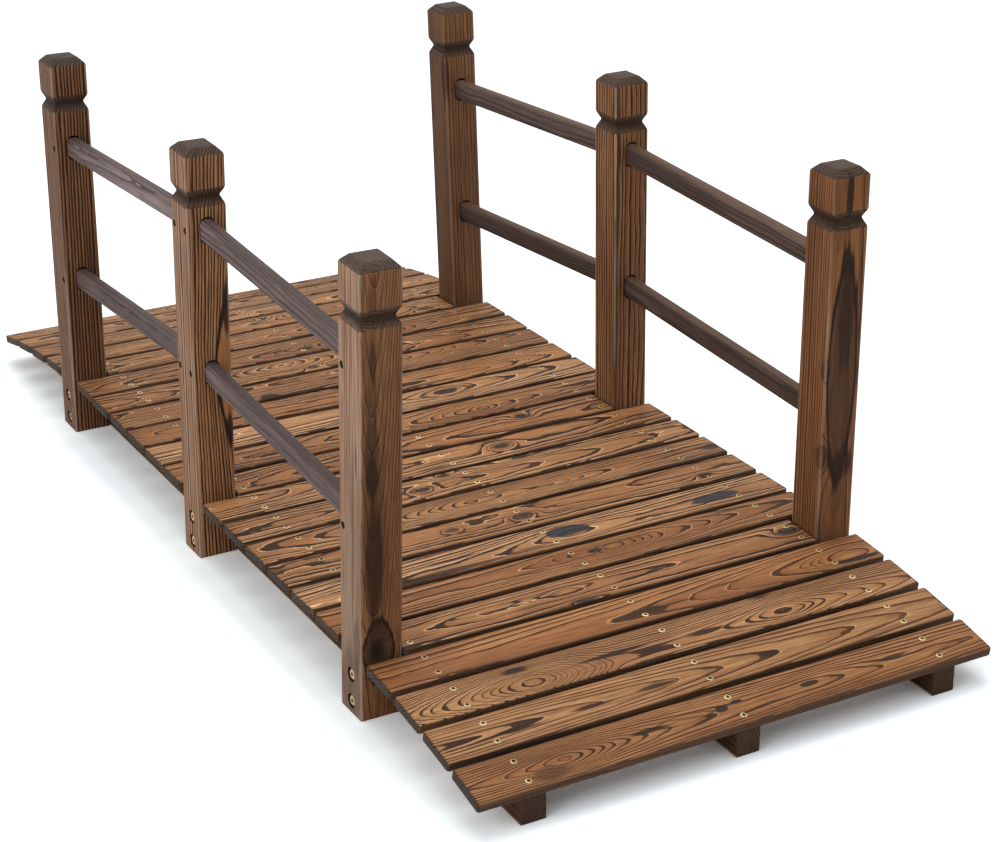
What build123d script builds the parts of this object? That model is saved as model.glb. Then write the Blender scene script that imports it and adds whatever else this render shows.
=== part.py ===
from build123d import *
from math import cos, degrees, radians, sin, tan
import os

# A low wooden garden footbridge. Flat boards are screwed across three stringers
# that lie on the ground. On each side three posts are bolted to the outer stringer,
# and two rails run between each post and the next.
# X runs along the bridge, Y across it and Z up. The origin is on the ground under
# the middle of the deck. The front end is at +X, and the left side is at -Y.

# Main sizes
deck_length = 1526.0  # along the undersides of the boards
post_spacing = 467.0  # from the middle post to an end post
frame_width = 565.5  # over the outer faces of the outer stringers

# Stringers
stringer_thickness = 30.0
stringer_height = 70.5
level_half_length = 400.0  # half of the level stretch
end_drop = 40.0  # the top curves down by about this much to each end
stringer_inset = 0.5  # the ends stand back from the front of the end boards

# Deck boards
boards_between_posts = 6  # full boards from one post to the next
boards_past_posts = 4  # full boards from an end post to the end of the deck
board_gap = 8.2
board_thickness = 11.0
board_edge = 2.5  # rounding of the long top edges
short_board_end_gap = 1.0  # from a short board to the posts

# Posts
post_size = 51.0
post_height = 541.0
post_arris = 1.0  # rounding of the post's long edges
post_clearance = 12.0  # from a post's side to the next full board
head_inset = 9.0  # the top is this much smaller all round
head_rise = 9.0
head_block = 42.0  # height of the block above the groove
groove_depth = 6.2
groove_half_height = 10.5

# Each post leans a little from its bolts, in degrees:
# first along the bridge towards the front, then in over the deck.
post_leans = {
    "left_front": (2.0, 0.5),
    "left_middle": (1.5, 0.6),
    "left_back": (-0.6, 0.8),
    "right_front": (0.0, 0.0),
    "right_middle": (-0.3, 0.5),
    "right_back": (-0.8, 1.2),
}

# Rails
rail_height = 28.0
rail_thickness = 18.5
rail_round = 7.0
rail_grip = 15.0  # length of rail inside a post
rail_heights = {"upper": 439.5, "lower": 253.5}  # rail axis at the middle post
rail_falls = {"upper": 23.0, "lower": 27.0}  # from there down to the end post
mortise_side_gap = 0.9
mortise_play = 4.0  # above and below the rail
mortise_end_gap = 0.3

# Foot bolts
bolt_heights = (15.5, 49.5)
bolt_diameter = 6.0
bolt_head_diameter = 14.0
bolt_head_height = 4.0
bolt_sink = 8.0  # depth of the counterbore in the post's outer face
bolt_bore_gap = 0.3
bolt_head_gap = 2.0  # round the head in its counterbore
bolt_cover = 6.0  # wood left over the bolt's point in the stringer
bolt_point_gap = 1.0

# Where pieces are screwed together they nearly touch
seat_gap = 0.1

# Layout along the deck, measured on its underside from the middle
deck_half_length = deck_length / 2
post_bay = post_size + 2 * post_clearance
short_board_width = post_bay - 2 * board_gap
end_radius = (deck_half_length - level_half_length) ** 2 / (2 * end_drop)

# Layout across the bridge
post_face = frame_width / 2 + seat_gap
deck_width = 2 * (post_face + post_size)
short_board_length = frame_width - 2 * short_board_end_gap
outer_stringer_centre = (frame_width - stringer_thickness) / 2

# Slots for the rails
mortise_width = rail_thickness + 2 * mortise_side_gap
mortise_height = rail_height + 2 * mortise_play

sides = {"left": -1, "right": 1}
places = {"back": -1, "middle": 0, "front": 1}
ends = {"back": -1, "front": 1}


def arch_point(distance, height):
    """Point over the stringers' top at a distance along the deck, and the slope there."""
    turn = max(abs(distance) - level_half_length, 0) / end_radius
    flat = min(abs(distance), level_half_length)
    x = flat + (end_radius + height) * sin(turn)
    z = stringer_height - end_radius + (end_radius + height) * cos(turn)
    if distance < 0:
        return -x, z, -turn
    return x, z, turn


def post_plane(side_name, place_name):
    """Plane on the ground at a post's inner face: y points outwards, z up the post."""
    side = sides[side_name]
    lean_along, lean_in = (tan(radians(lean)) for lean in post_leans[f"{side_name}_{place_name}"])
    pivot = sum(bolt_heights) / len(bolt_heights)
    x = places[place_name] * post_spacing - pivot * lean_along
    y = side * (post_face + stringer_height * lean_in)
    return Plane(origin=(x, y, 0), x_dir=(side, 0, -side * lean_along),
                 z_dir=(lean_along, -side * lean_in, 1))


def face_plane(post, depth):
    """Plane parallel to a post's outer face, at a depth out from its inner face."""
    return Plane(origin=post.from_local_coords((0, depth, 0)), x_dir=post.x_dir * -1,
                 z_dir=post.y_dir)


def end_plane(side, post, facing, inset):
    """Plane parallel to the face of a post that looks along the bridge, x up the post."""
    out = side * facing
    origin = post.from_local_coords((out * (post_size / 2 - inset), post_size / 2, 0))
    return Plane(origin=origin, x_dir=post.z_dir, z_dir=post.x_dir * out)


def rail_height_at(level, distance):
    """Height of a rail's axis at a distance from the middle post."""
    return rail_heights[level] - rail_falls[level] * distance / post_spacing


def board_row(start, finish, count):
    """Middles and widths of the full boards that fill a stretch of deck."""
    pitch = (finish - start + board_gap) / count
    width = pitch - board_gap
    return [(start + width / 2 + number * pitch, width) for number in range(count)]


def make_stringer(name, y, side_name=None):
    """Board on edge: flat underneath, level on top and rounded down to its ends."""
    end_x, end_z, end_turn = arch_point(deck_half_length - stringer_inset, 0)
    with BuildPart() as stringer:
        with BuildSketch(Plane.XZ.offset(-y - stringer_thickness / 2)):
            with BuildLine():
                level = Line((-level_half_length, stringer_height),
                             (level_half_length, stringer_height))
                front = JernArc(level @ 1, (1, 0), end_radius, -degrees(end_turn))
                back = JernArc(level @ 0, (-1, 0), end_radius, degrees(end_turn))
                Polyline(front @ 1, (end_x, 0), (-end_x, 0), back @ 1)
            make_face()
        extrude(amount=stringer_thickness)
        if side_name:
            for place_name in places:
                with BuildSketch(face_plane(post_plane(side_name, place_name), 0)):
                    with Locations(*[(0, height) for height in bolt_heights]):
                        Circle(bolt_diameter / 2 + bolt_bore_gap)
                extrude(amount=bolt_cover - stringer_thickness, mode=Mode.SUBTRACT)
    stringer.part.label = name
    export_step(stringer.part, f"parts/{name}.step")


def make_board(name, distance, width, length):
    """Flat deck board with its long top edges rounded."""
    x, z, turn = arch_point(distance, seat_gap)
    seat = Plane(origin=(x, 0, z), x_dir=(cos(turn), 0, -sin(turn)),
                 z_dir=(sin(turn), 0, cos(turn)))
    with BuildPart() as board:
        with BuildSketch(seat):
            Rectangle(width, length)
        extrude(amount=board_thickness)
        top_edges = board.faces().sort_by(Axis.Z)[-1].edges().filter_by(Axis.Y)
        fillet(top_edges, min(board_edge, 0.9 * board_thickness))
    board.part.label = name
    export_step(board.part, f"parts/{name}.step")


def post_section(post, height, inset):
    """Square section of a post at a height along it, smaller all round by the inset."""
    size = post_size - 2 * inset
    with BuildSketch(post.offset(height)) as section:
        with Locations((0, post_size / 2)):
            Rectangle(size, size)
    return section.sketch


def make_post(name, side_name, place_name):
    """Square post with a grooved head, slots for the rails and holes for its bolts."""
    side, place = sides[side_name], places[place_name]
    post_frame = post_plane(side_name, place_name)
    outer_face = face_plane(post_frame, post_size)
    eave = post_height - head_rise
    block_foot = eave - head_block
    groove = block_foot - groove_half_height
    shoulder = groove - groove_half_height
    outline = [(-post_size, 0), (shoulder, 0), (groove, groove_depth), (block_foot, 0),
               (eave, 0), (post_height, head_inset)]
    with BuildPart() as post:
        loft([post_section(post_frame, height, inset) for height, inset in outline], ruled=True)
        with BuildSketch(post_frame.offset(-post_size)):
            with Locations((0, post_size / 2)):
                RectangleRounded(post_size, post_size, post_arris)
        extrude(amount=post_size + post_height, mode=Mode.INTERSECT)
        split(bisect_by=Plane.XY, keep=Keep.TOP)
        with BuildSketch(outer_face):
            with Locations(*[(0, height) for height in bolt_heights]):
                Circle(bolt_diameter / 2 + bolt_bore_gap)
        extrude(amount=-post_size, mode=Mode.SUBTRACT)
        with BuildSketch(outer_face):
            with Locations(*[(0, height) for height in bolt_heights]):
                Circle(bolt_head_diameter / 2 + bolt_head_gap)
        extrude(amount=-bolt_sink, mode=Mode.SUBTRACT)
        for facing in ends.values():
            if facing == place:
                continue
            reach = abs(place * post_spacing + facing * post_size / 2)
            with BuildSketch(end_plane(side, post_frame, facing, 0)):
                for level in rail_heights:
                    with Locations((rail_height_at(level, reach), 0)):
                        SlotOverall(mortise_height, mortise_width)
            extrude(amount=-rail_grip - mortise_end_gap, mode=Mode.SUBTRACT)
    post.part.label = name
    export_step(post.part, f"parts/{name}.step")


def make_rail(name, side_name, end_name, level):
    """Rounded rail that falls from the middle post to an end post, in both their slots."""
    side, end = sides[side_name], ends[end_name]
    near = end_plane(side, post_plane(side_name, "middle"), end, rail_grip)
    far = end_plane(side, post_plane(side_name, end_name), -end, rail_grip)
    near_reach = post_size / 2 - rail_grip
    start = near.from_local_coords((rail_height_at(level, near_reach), 0))
    finish = far.from_local_coords((rail_height_at(level, post_spacing - near_reach), 0))
    along = finish - start
    section = Plane(origin=start - along.normalized() * rail_height, x_dir=(0, 1, 0), z_dir=along)
    with BuildPart() as rail:
        with BuildSketch(section):
            RectangleRounded(rail_thickness, rail_height,
                             min(rail_round, 0.49 * rail_thickness, 0.49 * rail_height))
        extrude(amount=along.length + 2 * rail_height)
        split(bisect_by=near, keep=Keep.TOP)
        split(bisect_by=far, keep=Keep.TOP)
    rail.part.label = name
    export_step(rail.part, f"parts/{name}.step")


def make_foot_bolts(name):
    """Two bolts at the foot of every post, with round heads sunk in its outer face."""
    seat_depth = post_size - bolt_sink + seat_gap
    shank = seat_depth + stringer_thickness - bolt_cover - bolt_point_gap
    with BuildPart() as bolts:
        for side_name in sides:
            for place_name in places:
                seat = face_plane(post_plane(side_name, place_name), seat_depth)
                with BuildSketch(seat):
                    with Locations(*[(0, height) for height in bolt_heights]):
                        Circle(bolt_diameter / 2)
                extrude(amount=-shank)
                with BuildSketch(seat):
                    with Locations(*[(0, height) for height in bolt_heights]):
                        Circle(bolt_head_diameter / 2)
                extrude(amount=bolt_head_height)
    bolts.part.label = name
    export_step(bolts.part, f"parts/{name}.step")


os.makedirs("parts", exist_ok=True)

make_stringer("left_stringer", -outer_stringer_centre, "left")
make_stringer("middle_stringer", 0)
make_stringer("right_stringer", outer_stringer_centre, "right")

for side_name in sides:
    for place_name in places:
        make_post(f"{side_name}_{place_name}_post", side_name, place_name)
    for end_name in ends:
        for level in rail_heights:
            make_rail(f"{side_name}_{end_name}_{level}_rail", side_name, end_name, level)

# Boards are counted from the front end. A short board lies between each pair of posts,
# and full boards fill the deck between the posts and out to its ends.
boards = [(place * post_spacing, short_board_width, short_board_length)
          for place in places.values()]
between_posts = board_row(post_bay / 2, post_spacing - post_bay / 2, boards_between_posts)
past_posts = board_row(post_spacing + post_bay / 2, deck_half_length, boards_past_posts)
for distance, width in between_posts + past_posts:
    for end in ends.values():
        boards.append((end * distance, width, deck_width))
boards.sort(reverse=True)
for number, (distance, width, length) in enumerate(boards, start=1):
    make_board(f"deck_board_{number:02d}", distance, width, length)

make_foot_bolts("foot_bolts")

end_x, end_z, end_turn = arch_point(deck_half_length, board_thickness)
print(f"boards {len(boards)}, length {2 * end_x:.0f}, width {deck_width:.0f}, "
      f"deck height {stringer_height + board_thickness:.0f}, end radius {end_radius:.0f}")
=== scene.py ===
import bpy
import bmesh
import random
from math import cos, pi, radians, sin
from mathutils import Matrix, Vector


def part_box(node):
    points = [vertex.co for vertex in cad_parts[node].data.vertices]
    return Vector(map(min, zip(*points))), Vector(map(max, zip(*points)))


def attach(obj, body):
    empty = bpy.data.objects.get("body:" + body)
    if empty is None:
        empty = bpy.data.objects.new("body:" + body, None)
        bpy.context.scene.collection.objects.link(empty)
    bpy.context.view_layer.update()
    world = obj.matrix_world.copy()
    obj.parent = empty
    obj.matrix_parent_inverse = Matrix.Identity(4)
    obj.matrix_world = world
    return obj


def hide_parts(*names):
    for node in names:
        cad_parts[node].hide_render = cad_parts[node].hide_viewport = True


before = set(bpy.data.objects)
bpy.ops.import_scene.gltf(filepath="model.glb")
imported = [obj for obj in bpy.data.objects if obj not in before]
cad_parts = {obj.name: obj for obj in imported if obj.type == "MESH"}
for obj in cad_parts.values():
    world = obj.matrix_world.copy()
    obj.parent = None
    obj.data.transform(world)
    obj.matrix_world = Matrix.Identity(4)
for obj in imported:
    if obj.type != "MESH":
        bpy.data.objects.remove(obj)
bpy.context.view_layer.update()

print("frame loaded:", len(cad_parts), "pieces")


# Picking and shaping, used by every piece

def deselectAll():
    if bpy.context.object and bpy.context.object.mode == "EDIT":
        bpy.ops.object.mode_set(mode="OBJECT")
    bpy.ops.object.select_all(action="DESELECT")


def choose(*pieces):
    deselectAll()
    for piece in pieces:
        piece.select_set(True)
    bpy.context.view_layer.objects.active = pieces[0]


def startEdit(piece):
    choose(piece)
    bpy.ops.object.mode_set(mode="EDIT")


def endEdit():
    bpy.ops.object.mode_set(mode="OBJECT")


def pick(kind, test):
    # selects the corners, edges or faces that pass the test
    bpy.ops.mesh.select_mode(type=kind)
    bpy.ops.mesh.select_all(action="DESELECT")
    mesh = bmesh.from_edit_mesh(bpy.context.object.data)
    for part in {"VERT": mesh.verts, "EDGE": mesh.edges, "FACE": mesh.faces}[kind]:
        if test(part):
            part.select_set(True)
    mesh.select_flush_mode()
    bmesh.update_edit_mesh(bpy.context.object.data)


def middle(edge):
    return (edge.verts[0].co + edge.verts[1].co) / 2


def runsAlong(edge, axis):
    way = (edge.verts[1].co - edge.verts[0].co).normalized()
    return abs(way[axis]) > 0.99


def cutAcross(place):
    # a ring of edges all round the stick at that place along it
    bpy.ops.mesh.select_all(action="SELECT")
    bpy.ops.mesh.bisect(plane_co=(place, 0, 0), plane_no=(1, 0, 0))


def addBlock(name, size):
    deselectAll()
    bpy.ops.mesh.primitive_cube_add(size=1, scale=size)
    block = bpy.context.object
    block.name = name
    bpy.ops.object.transform_apply()
    return block


def roundAlong(piece, radius, segments):
    # rounds the four long edges of a stick
    startEdit(piece)
    pick("EDGE", lambda edge: runsAlong(edge, 0))
    bpy.ops.mesh.bevel(offset=radius, segments=segments)
    endEdit()


def copyPiece(piece, name):
    twin = piece.copy()
    twin.data = piece.data.copy()
    twin.name = name
    bpy.context.scene.collection.objects.link(twin)
    return twin


def putAt(piece, place):
    piece.matrix_world = place
    choose(piece)
    bpy.ops.object.transform_apply()


def joinAll(pieces, name):
    choose(*pieces)
    bpy.ops.object.join()
    joined = bpy.context.object
    joined.name = name
    return joined


def cutAway(piece, cutter):
    choose(piece)
    cut = piece.modifiers.new("cut", "BOOLEAN")
    cut.operation = "DIFFERENCE"
    cut.solver = "EXACT"
    cut.object = cutter
    bpy.ops.object.modifier_apply(modifier="cut")


def removeAll(*pieces):
    for piece in pieces:
        bpy.data.objects.remove(piece)


def smooth(piece):
    choose(piece)
    bpy.ops.object.shade_smooth_by_angle(angle=radians(35))


def finishPiece(piece, slotName, *nodes):
    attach(piece, "root")
    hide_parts(*nodes)


# Where each stick lies, read from the frame: x along the grain, z out of its top or outer side

def flatNormal(node, towards):
    faces = [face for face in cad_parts[node].data.polygons
             if face.normal.dot(Vector(towards)) > 0.97]
    return max(faces, key=lambda face: face.area).normal.copy()


def layOf(node, sideways, outwards):
    zWay = flatNormal(node, outwards).normalized()
    yWay = flatNormal(node, sideways)
    yWay = (yWay - zWay * yWay.dot(zWay)).normalized()
    xWay = yWay.cross(zWay)
    turn = Matrix((xWay, yWay, zWay)).transposed()
    corners = [turn.transposed() @ corner.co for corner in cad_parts[node].data.vertices]
    low = Vector([min(corner[axis] for corner in corners) for axis in range(3)])
    high = Vector([max(corner[axis] for corner in corners) for axis in range(3)])
    place = Matrix.Translation(turn @ ((low + high) / 2)) @ turn.to_4x4()
    return place, high - low


# Node trees

def feed(tree, socket, value):
    if isinstance(value, bpy.types.NodeSocket):
        tree.links.new(value, socket)
    elif socket.type == "RGBA":
        socket.default_value = (*value, 1)
    else:
        socket.default_value = value


def newMaterial(name):
    material = bpy.data.materials.new(name)
    material.use_nodes = True
    return material, material.node_tree, material.node_tree.nodes["Principled BSDF"]


def calc(tree, operation, *values, clamp=False):
    made = tree.nodes.new("ShaderNodeMath")
    made.operation = operation
    made.use_clamp = clamp
    for socket, value in zip(made.inputs, values):
        feed(tree, socket, value)
    return made.outputs[0]


def vectorCalc(tree, operation, *values):
    made = tree.nodes.new("ShaderNodeVectorMath")
    made.operation = operation
    for socket, value in zip(made.inputs, values):
        feed(tree, socket, value)
    if operation == "SCALE":
        feed(tree, made.inputs["Scale"], values[1])
    return made.outputs["Value" if operation in ("LENGTH", "DOT_PRODUCT") else "Vector"]


def fade(tree, value, start, finish, low=0.0, high=1.0):
    made = tree.nodes.new("ShaderNodeMapRange")
    made.interpolation_type = "SMOOTHSTEP"
    for socket, number in zip(made.inputs, (value, start, finish, low, high)):
        feed(tree, socket, number)
    return made.outputs[0]


def mixColour(tree, amount, under, over):
    made = tree.nodes.new("ShaderNodeMix")
    made.data_type = "RGBA"
    feed(tree, made.inputs["Factor"], amount)
    feed(tree, made.inputs[6], under)
    feed(tree, made.inputs[7], over)
    return made.outputs[2]


def times(tree, first, second, clamp=False):
    return calc(tree, "MULTIPLY", first, second, clamp=clamp)


def added(tree, first, second, clamp=False):
    return calc(tree, "ADD", first, second, clamp=clamp)


def scaled(tree, value, share, start, clamp=False):
    # a share of the value, on top of a start
    return calc(tree, "MULTIPLY_ADD", value, share, start, clamp=clamp)


def noise(tree, place, stretch, detail=1.0, shift=(0, 0, 0), output="Fac"):
    made = tree.nodes.new("ShaderNodeTexNoise")
    made.inputs["Scale"].default_value = 1.0
    made.inputs["Detail"].default_value = detail
    spread = vectorCalc(tree, "MULTIPLY", place, stretch)
    feed(tree, made.inputs["Vector"], vectorCalc(tree, "ADD", spread, shift))
    return made.outputs[output]


def swing(tree, value, share, base=0.0):
    # a noise is 0.5 on average, so here it moves the base both up and down
    return scaled(tree, calc(tree, "SUBTRACT", value, 0.5), share, base)


def parted(tree, vector):
    made = tree.nodes.new("ShaderNodeSeparateXYZ")
    tree.links.new(vector, made.inputs[0])
    return made.outputs


# Growth rings round the heart of a tree, cut by the sides of a stick

ringShape = {
    # sways of the heart: how fine they are along and across, and their share of the wander
    "sways": (((1.7, 5, 5), 2.2), ((9, 26, 26), 0.55), ((30, 90, 90), 0.18), ((80, 300, 300), 0.07)),
    "yearly": (90.0, 1.3),         # how fast ring widths change outwards, and by how many rings
    "seedShift": (3.71, 1.37, 2.19),
    # how fine each noise is along and across
    "cloud": (6, 40, 40),
    "drift": (2.6, 16, 16),
    "streak": (7, 240, 240),
    "fibre": (26, 900, 900),
    "patches": (11, 11, 11),
    "mottle": (20, 120, 120),
    "teeth": (60, 500, 500),
    "patchFade": (0.42, 0.62),
    "flatReach": 0.0065,           # rings lie flat to a face this near to the heart
    "leastRadius": 0.001,
    # the dark part of a ring starts at this share of it, and moves by chance and where it is burnt
    "lateStart": 0.955,
    "byChance": -0.12,
    "byBurn": -0.6,
    "byMottle": 0.6,
    "byTeeth": 0.16,
    # how steep rings change a number, and what it is where they lie flat
    "steepStart": -0.46,
    "steepMottle": (-0.6, -0.4),
    "latestStart": (-0.12, 0.945),
    "softness": (0.13, 0.03),
    "lateEnd": (-0.05, 0.99),
    "glintEnd": (0.3, 0.04),
    "glintStart": 0.01,
    "firmness": (0.35, 0.75),      # some rings are darker than others
    "firmScale": 1.7,
}


def makeGrain(shape):
    tree = bpy.data.node_groups.new("growthRings", "ShaderNodeTree")
    for name in ("Place", "Heart", "Lean"):
        tree.interface.new_socket(name, in_out="INPUT", socket_type="NodeSocketVector")
    for name in ("Ring width", "Wander", "Seed", "Swell", "Burn", "Flare"):
        tree.interface.new_socket(name, in_out="INPUT", socket_type="NodeSocketFloat")
    given = tree.nodes.new("NodeGroupInput").outputs
    shift = vectorCalc(tree, "SCALE", shape["seedShift"], given["Seed"])

    def seeded(stretch, detail=1.0, output="Fac"):
        return noise(tree, given["Place"], stretch, detail, shift, output)

    # the heart leans sideways by so much for each metre along, and sways
    along = parted(tree, given["Place"])[0]
    moved = vectorCalc(tree, "SUBTRACT", given["Place"], given["Heart"])
    moved = vectorCalc(tree, "SUBTRACT", moved, vectorCalc(tree, "SCALE", given["Lean"], along))
    for stretch, share in shape["sways"]:
        centred = vectorCalc(tree, "SUBTRACT", seeded(stretch, output="Color"), (0.5, 0.5, 0.5))
        sideways = vectorCalc(tree, "MULTIPLY", centred, (0, share, share))
        moved = vectorCalc(tree, "ADD", moved, vectorCalc(tree, "SCALE", sideways, given["Wander"]))
    moved = vectorCalc(tree, "MULTIPLY", moved, (0, 1, 1))
    radius = vectorCalc(tree, "LENGTH", moved)
    reach = added(tree, radius, given["Swell"])

    yearly = tree.nodes.new("ShaderNodeTexNoise")
    yearly.noise_dimensions = "1D"
    yearly.inputs["Scale"].default_value = 1.0
    yearly.inputs["Detail"].default_value = 0.0
    yearScale, yearShare = shape["yearly"]
    tree.links.new(scaled(tree, reach, yearScale, given["Seed"]), yearly.inputs["W"])
    even = calc(tree, "DIVIDE", reach, given["Ring width"])
    rings = swing(tree, yearly.outputs["Fac"], yearShare, even)
    phase = calc(tree, "FRACT", rings)

    def ownChance(scale):
        # a number between 0 and 1 that belongs to one ring
        made = tree.nodes.new("ShaderNodeTexWhiteNoise")
        made.noise_dimensions = "1D"
        whole = scaled(tree, calc(tree, "FLOOR", rings), scale, given["Seed"])
        tree.links.new(whole, made.inputs["W"])
        return made.outputs["Value"]

    # how steeply the rings meet the nearest face: where they lie flat, dark lines are thin but may flare
    _, aside, above = parted(tree, vectorCalc(tree, "ABSOLUTE", moved))
    across = calc(tree, "MINIMUM", aside, above)
    steep = calc(tree, "DIVIDE", across, calc(tree, "MAXIMUM", radius, shape["leastRadius"]))
    flat = calc(tree, "DIVIDE", across, shape["flatReach"])
    flat = calc(tree, "EXPONENT", times(tree, times(tree, flat, flat), -1.0))

    def bySteepness(pair):
        return scaled(tree, steep, *pair)

    cloud = seeded(shape["cloud"], 2.0)
    patchy = fade(tree, seeded(shape["patches"]), *shape["patchFade"])
    patchy = times(tree, patchy, given["Flare"], clamp=True)
    burn = calc(tree, "MAXIMUM", given["Burn"], times(tree, flat, patchy))
    mottle = swing(tree, seeded(shape["mottle"]), shape["byMottle"], swing(tree, cloud, shape["byMottle"]))
    mottle = times(tree, mottle, bySteepness(shape["steepMottle"]))
    teeth = swing(tree, seeded(shape["teeth"], 2.0), shape["byTeeth"])
    start = scaled(tree, ownChance(1.0), shape["byChance"], shape["lateStart"])
    start = bySteepness((shape["steepStart"], start))
    start = added(tree, added(tree, start, mottle), teeth)
    start = scaled(tree, burn, shape["byBurn"], start)
    start = calc(tree, "MINIMUM", start, bySteepness(shape["latestStart"]))
    late = fade(tree, phase, start, added(tree, start, bySteepness(shape["softness"])))
    late = times(tree, late, fade(tree, phase, 1.0, bySteepness(shape["lateEnd"])))
    firm = scaled(tree, ownChance(shape["firmScale"]), *shape["firmness"])
    late = times(tree, late, added(tree, firm, burn, clamp=True))
    glint = fade(tree, phase, bySteepness(shape["glintEnd"]), shape["glintStart"])
    made = {"Late": late, "Phase": phase, "Fibre": seeded(shape["fibre"], 2.0),
            "Streak": seeded(shape["streak"], 2.0), "Cloud": cloud, "Drift": seeded(shape["drift"]),
            "Glint": glint, "Burnt": burn, "Rings": rings}
    for name in made:
        tree.interface.new_socket(name, in_out="OUTPUT", socket_type="NodeSocketFloat")
    result = tree.nodes.new("NodeGroupOutput").inputs
    for name, value in made.items():
        tree.links.new(value, result[name])
    return tree


grainTree = makeGrain(ringShape)


def spotAround(tree, place, at, size, arched=False):
    # 1 at the middle of a spot, down to 0 well outside it; an arched one has pointed ends along the grain
    away = vectorCalc(tree, "DIVIDE", vectorCalc(tree, "SUBTRACT", place, at), size)
    if arched:
        along = parted(tree, away)[0]
        across = vectorCalc(tree, "MULTIPLY", away, (0, 1, 1))
        ends = calc(tree, "SQRT", scaled(tree, along, along, surface["blunt"]))
        near = added(tree, ends, vectorCalc(tree, "DOT_PRODUCT", across, across))
    else:
        near = vectorCalc(tree, "DOT_PRODUCT", away, away)
    return calc(tree, "EXPONENT", times(tree, near, -1.0))


# Each fade in the wood: where it starts and ends, and its strength at the start and the end
fades = {
    "warmRings": (0.4, 0.9, 0.0, 0.75),
    "warmDrift": (0.42, 0.64, 0.0, 0.75),
    "warmStreaks": (0.42, 0.66, 0.0, 0.6),
    "darkFibres": (0.36, 0.56, 0.4, 0.0),
    "burntLines": (0.05, 0.5),
    "bleachedStreaks": (0.34, 0.56, 0.35, 1.0),
    "bleachedClouds": (0.36, 0.6, 0.45, 1.0),
    "streaks": (0.34, 0.45),
    "grey": (0.38, 0.6),
    "ovalFill": (0.46, 0.52),
    "ovalRimOut": (0.41, 0.45),
    "ovalRimIn": (0.54, 0.49),
    "stain": (0.4, 0.62),
    "knot": (0.5, 0.9),
    "burntPatch": (0.42, 0.54, 0.0, 0.95),
    "endRings": (0.35, 0.9, 0.0, 0.75),
    "endGlint": (0.25, 0.0),
    "endFibres": (0.4, 0.6, 0.7, 0.0),
    "groove": (0.0122, 0.01, 0.0, 0.75),      # metres from the groove's middle
    # painted shade at the bottom of a post's groove
    "scorch": (0.0125, 0.004, 0.0, 0.8),
    "corner": (0.0034, 0.0014),                 # metres from a long corner
    "cornerClouds": (0.35, 0.6, 0.25, 1.0),
    "cap": (0.003, 0.009),
}
# How ragged edges are, and the gloss and relief
surface = {
    "ragged": (0.5, 0.3, -0.4),      # shares of streaks and clouds, and the middle
    "blunt": 0.02,                   # the points of arched spots are this blunt
    "ovalRagged": 0.3,
    "ovalFill": 0.7,
    "knotRough": (1.1, 0.9),
    "patchRagged": 0.9,
    "outlineRagged": -0.004,
    "scorchRagged": 0.006,
    "bandRagged": 0.045,
    "rough": 0.42,
    "fibreRough": 0.25,
    "lateRough": 0.08,
    "fibreRelief": 0.35,
    "lateRelief": 0.8,
    "gloss": 0.12,
}
# What a look has where it says nothing else
plainLook = {
    "lean": (0, 0, 0), "burn": 0.0, "flare": 0.4, "glint": 0.65, "lateStrength": 0.95,
    "outerGrey": 0.0, "knotStrength": 0.92, "relief": 0.0008,
    "endReach": 0.001, "endRings": 1.0, "endGlint": 0.6, "endStrength": 0.9,
    "flames": (), "knots": (), "ovals": (), "stains": (), "patches": (), "holes": (),
}
# Metres inside a face where an effect starts and ends
depths = {
    "outer": (0.004, 0.001),
    "outline": (0.0055, 0.003),
    "end": (0.0018, 0.001),
    "endFace": (0.0008, 0.0),
    "side": (0.001, 0.0001),
    "band": (0.004, -0.001),
    "hole": (0.0001, 0.0008),
    "holeBottom": (0.002, 0.001),
    "holeWall": (-0.0005, -0.0001),
}


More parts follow.
